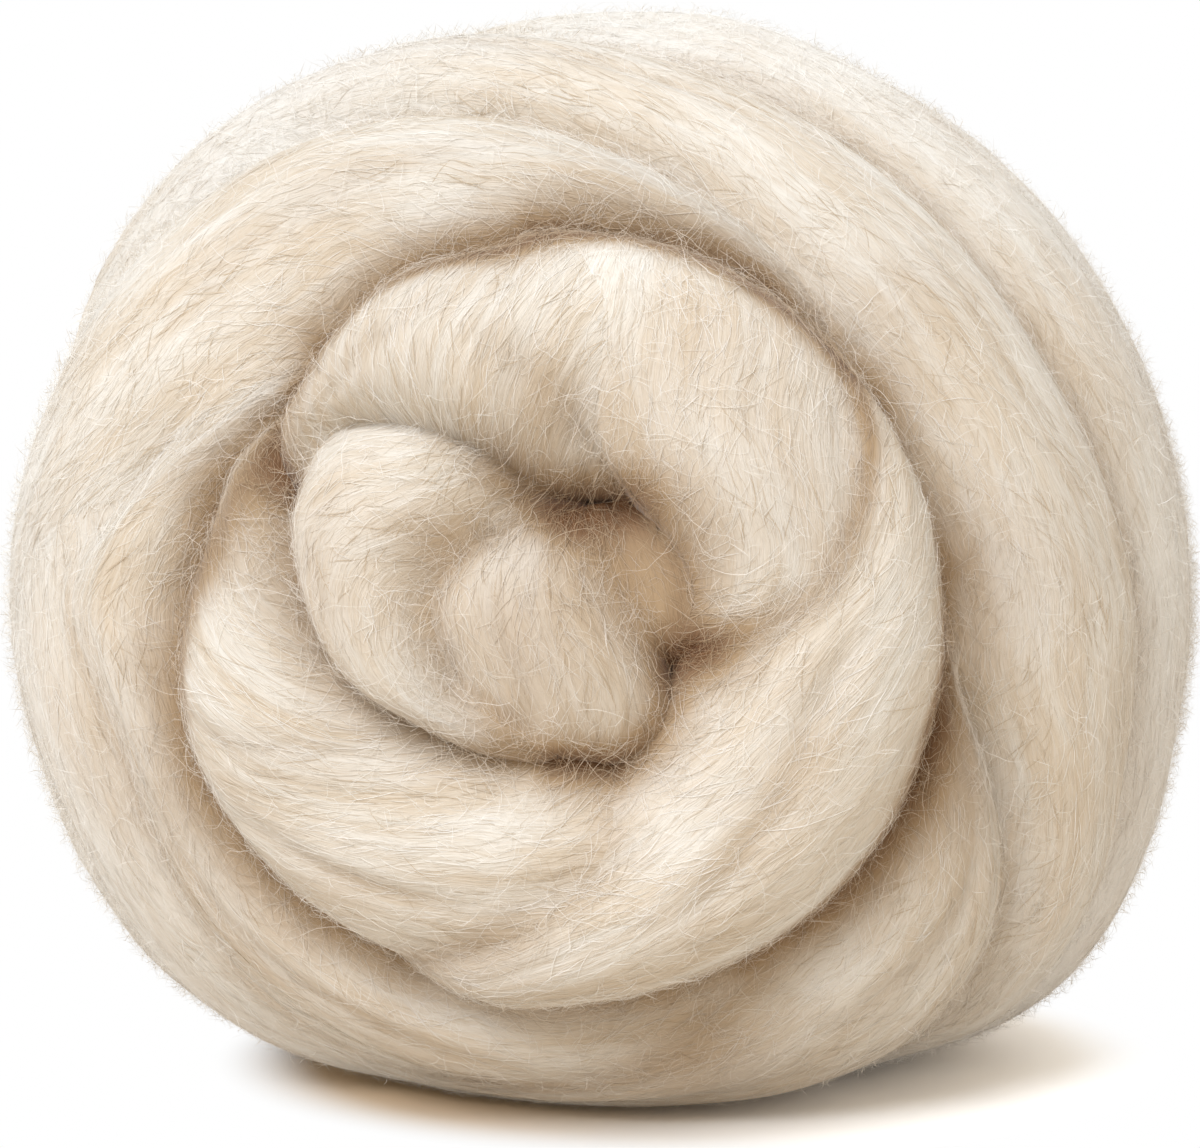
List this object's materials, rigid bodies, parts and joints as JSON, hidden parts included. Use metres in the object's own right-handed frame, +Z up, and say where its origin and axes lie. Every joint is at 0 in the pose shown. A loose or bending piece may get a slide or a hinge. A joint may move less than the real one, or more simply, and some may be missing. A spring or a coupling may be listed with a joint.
{
  "type": "ball of wool roving",
  "caption": "Soft ball of thick combed wool roving wound on itself in an uneven spiral, standing on a small flat spot.",
  "frame": {"origin": "on the floor, under the middle of the ball's box", "axes": "+X to the right of the spiral face, -Y out of the spiral face, +Z up"},
  "size_m": [0.1504, 0.131, 0.1334],
  "materials": {
    "wool": "matt, undyed cream combed wool"
  },
  "bodies": {
    "root": {"roving_ball": "wool"}
  },
  "joints": []
}
